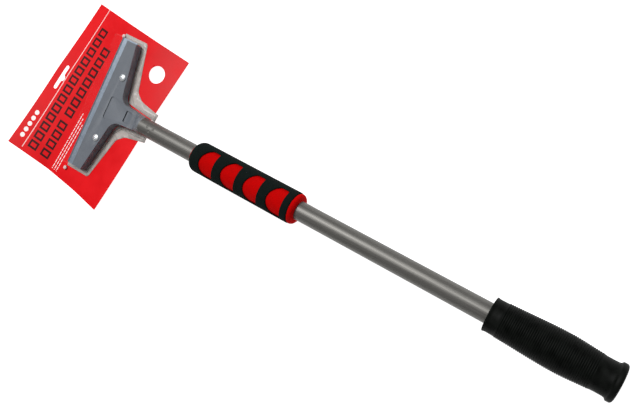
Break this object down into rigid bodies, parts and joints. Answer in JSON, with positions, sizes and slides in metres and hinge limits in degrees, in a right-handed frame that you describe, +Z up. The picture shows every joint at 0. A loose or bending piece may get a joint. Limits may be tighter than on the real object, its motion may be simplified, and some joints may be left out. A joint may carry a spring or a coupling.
{
  "type": "floor scraper",
  "caption": "Long-handled floor scraper: clamped wide blade in a cast T-shaped head, steel tube with windowed foam sleeve and ribbed end grip, on its retail card.",
  "frame": {"origin": "centre of the rubber grip's flat end face, on the tube's axis", "axes": "+X from the blade towards the end of the grip, +Y along the blade, +Z up, away from the retail card"},
  "size_m": [0.6784, 0.2074, 0.0352],
  "materials": {
    "cast_grey": "satin grey painted casting",
    "plate_steel": "plain steel strip",
    "blade_steel": "ground spring steel",
    "bright_screw": "bright plated",
    "zinc_nut": "zinc plated",
    "gunmetal_paint": "satin gunmetal paint",
    "red_foam": "closed-cell foam",
    "black_foam": "closed-cell foam",
    "black_rubber": "moulded, finely ribbed",
    "red_card": "coated printed card",
    "clear_film": "clear vacuum-formed film"
  },
  "bodies": {
    "tool": {"head_casting": "cast_grey", "tube": "gunmetal_paint", "foam_core": "red_foam", "foam_skin": "black_foam", "rubber_grip": "black_rubber"},
    "clamp": {"clamp_plate": "plate_steel", "nut_left": "zinc_nut", "nut_right": "zinc_nut"},
    "blade": {"blade": "blade_steel"},
    "screw_left": {"screw_left": "bright_screw"},
    "screw_right": {"screw_right": "bright_screw"},
    "card": {"retail_card": "red_card"},
    "blister": {"blister": "clear_film"}
  },
  "joints": [
    {"name": "screw_left_turn", "type": "hinge", "parent": "tool", "child": "screw_left", "pos_m": [-0.5672, -0.036, 0.001], "axis": [0, 0, 1], "range_deg": [0, 720]},
    {"name": "screw_right_turn", "type": "hinge", "parent": "tool", "child": "screw_right", "pos_m": [-0.5672, 0.036, 0.001], "axis": [0, 0, 1], "range_deg": [0, 720]},
    {"name": "clamp_slacken", "type": "slide", "parent": "tool", "child": "clamp", "axis": [0, 0, -1], "range_m": [0, 0.0014]},
    {"name": "blade_out", "type": "slide", "parent": "tool", "child": "blade", "axis": [-1, 0, 0], "range_m": [0, 0.025]},
    {"name": "card_off", "type": "slide", "parent": "tool", "child": "card", "axis": [0, 0, -1], "range_m": [0, 0.06]},
    {"name": "blister_off", "type": "slide", "parent": "tool", "child": "blister", "axis": [0, 0, 1], "range_m": [0, 0.06]}
  ],
  "couplings": [
    {"joint": "screw_left_turn", "follows": "clamp_slacken", "rad_per_m": 8976},
    {"joint": "screw_right_turn", "follows": "clamp_slacken", "rad_per_m": 8976}
  ]
}
